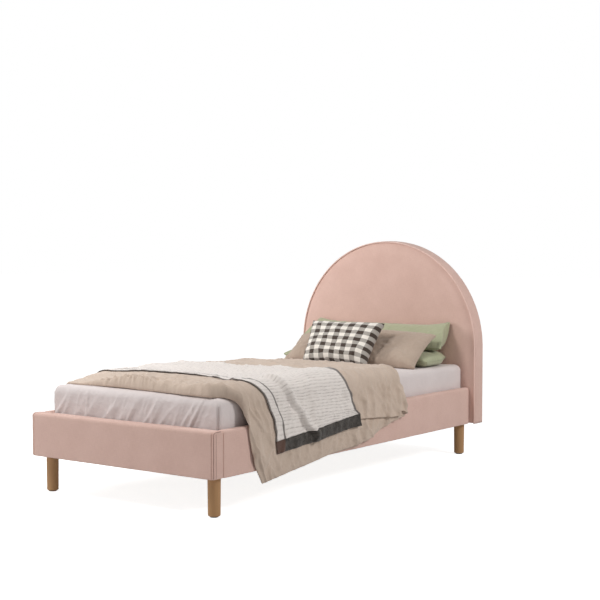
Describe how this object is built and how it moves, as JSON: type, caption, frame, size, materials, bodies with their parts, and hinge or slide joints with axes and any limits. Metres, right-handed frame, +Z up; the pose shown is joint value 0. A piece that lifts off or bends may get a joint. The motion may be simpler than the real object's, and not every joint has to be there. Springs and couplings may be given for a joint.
{
  "type": "upholstered junior bed",
  "caption": "Low padded bed with a half-round headboard, round wooden legs and sprung slats, made up with mattress, duvet, throw and pillows.",
  "frame": {"origin": "middle of the whole bed in plan, at floor level under the glides of the legs", "axes": "+X towards the bed's right side seen from the foot, +Y from the foot to the headboard, +Z up"},
  "size_m": [1.06, 2.05, 1.0659],
  "materials": {
    "upholstery": "soft woven cloth, matt, dusty pink",
    "piping": "cord covered in the upholstery cloth",
    "oak": "clear matt lacquer over light oak",
    "structural_timber": "planed softwood, unfinished",
    "plywood": "sanded plywood, unfinished",
    "slat_beech": "laminated beech, smooth",
    "zinc_steel": "zinc plated",
    "insert_brass": "plain turned",
    "black_plastic": "matt moulded",
    "dust_cloth": "plain cloth over thin board",
    "mattress_ticking": "quilted ticking",
    "sheet_cotton": "smooth cotton, pale grey pink",
    "duvet_cotton": "washed cotton, beige",
    "throw_weave": "light grey cotton with fine woven dashes",
    "throw_band": "dark charcoal woven band",
    "green_cotton": "washed cotton, pale sage green",
    "beige_cotton": "washed cotton, sand",
    "checked_cotton": "cotton with dark and pale woven checks"
  },
  "bodies": {
    "bed_frame": {"headboard_frame": "structural_timber", "headboard_rails": "structural_timber", "headboard_face": "plywood", "headboard_pad": "upholstery", "headboard_border": "upholstery", "headboard_piping": "piping", "headboard_back": "dust_cloth", "foot_board": "plywood", "foot_cover": "upholstery", "rail_board_left": "plywood", "rail_board_right": "plywood", "rail_cover_left": "upholstery", "rail_cover_right": "upholstery", "ledger_left": "structural_timber", "ledger_right": "structural_timber", "corner_block_foot_left": "structural_timber", "corner_block_foot_right": "structural_timber", "corner_block_head_left": "structural_timber", "corner_block_head_right": "structural_timber", "leg_foot_left": "oak", "leg_foot_right": "oak", "leg_head_left": "oak", "leg_head_right": "oak", "leg_plates": "zinc_steel", "leg_bolts": "zinc_steel", "leg_glides": "black_plastic", "rail_bolts": "zinc_steel", "end_bolts": "zinc_steel", "threaded_inserts": "insert_brass", "slat_holders_left": "black_plastic", "slat_holders_right": "black_plastic", "slat_1": "slat_beech", "slat_2": "slat_beech", "slat_3": "slat_beech", "slat_4": "slat_beech", "slat_5": "slat_beech", "slat_6": "slat_beech", "slat_7": "slat_beech", "slat_8": "slat_beech", "slat_9": "slat_beech", "slat_10": "slat_beech", "slat_11": "slat_beech", "slat_12": "slat_beech", "slat_13": "slat_beech", "slat_14": "slat_beech"},
    "mattress": {"mattress": "mattress_ticking", "fitted_sheet": "sheet_cotton"},
    "duvet": {"duvet": "duvet_cotton", "duvet_turn_back": "duvet_cotton"},
    "throw": {"throw": "throw_weave", "throw_bands": "throw_band"},
    "lower_green_pillow": {"green_pillow_lower": "green_cotton"},
    "upper_green_pillow": {"green_pillow_upper": "green_cotton"},
    "beige_pillow": {"beige_pillow": "beige_cotton"},
    "checked_cushion": {"checked_cushion": "checked_cotton"}
  },
  "joints": [
    {"name": "mattress_lift", "type": "slide", "parent": "bed_frame", "child": "mattress", "axis": [0, 0, 1], "range_m": [0, 0.3]},
    {"name": "duvet_lift", "type": "slide", "parent": "mattress", "child": "duvet", "axis": [0, 0, 1], "range_m": [0, 0.38]},
    {"name": "throw_lift", "type": "slide", "parent": "duvet", "child": "throw", "axis": [0, 0, 1], "range_m": [0, 0.34]},
    {"name": "lower_green_pillow_lift", "type": "slide", "parent": "mattress", "child": "lower_green_pillow", "axis": [0, 0, 1], "range_m": [0, 0.25]},
    {"name": "upper_green_pillow_lift", "type": "slide", "parent": "lower_green_pillow", "child": "upper_green_pillow", "axis": [0, 0, 1], "range_m": [0, 0.25]},
    {"name": "beige_pillow_lift", "type": "slide", "parent": "upper_green_pillow", "child": "beige_pillow", "axis": [0, 0, 1], "range_m": [0, 0.25]},
    {"name": "checked_cushion_lift", "type": "slide", "parent": "beige_pillow", "child": "checked_cushion", "axis": [0, 0, 1], "range_m": [0, 0.25]}
  ]
}
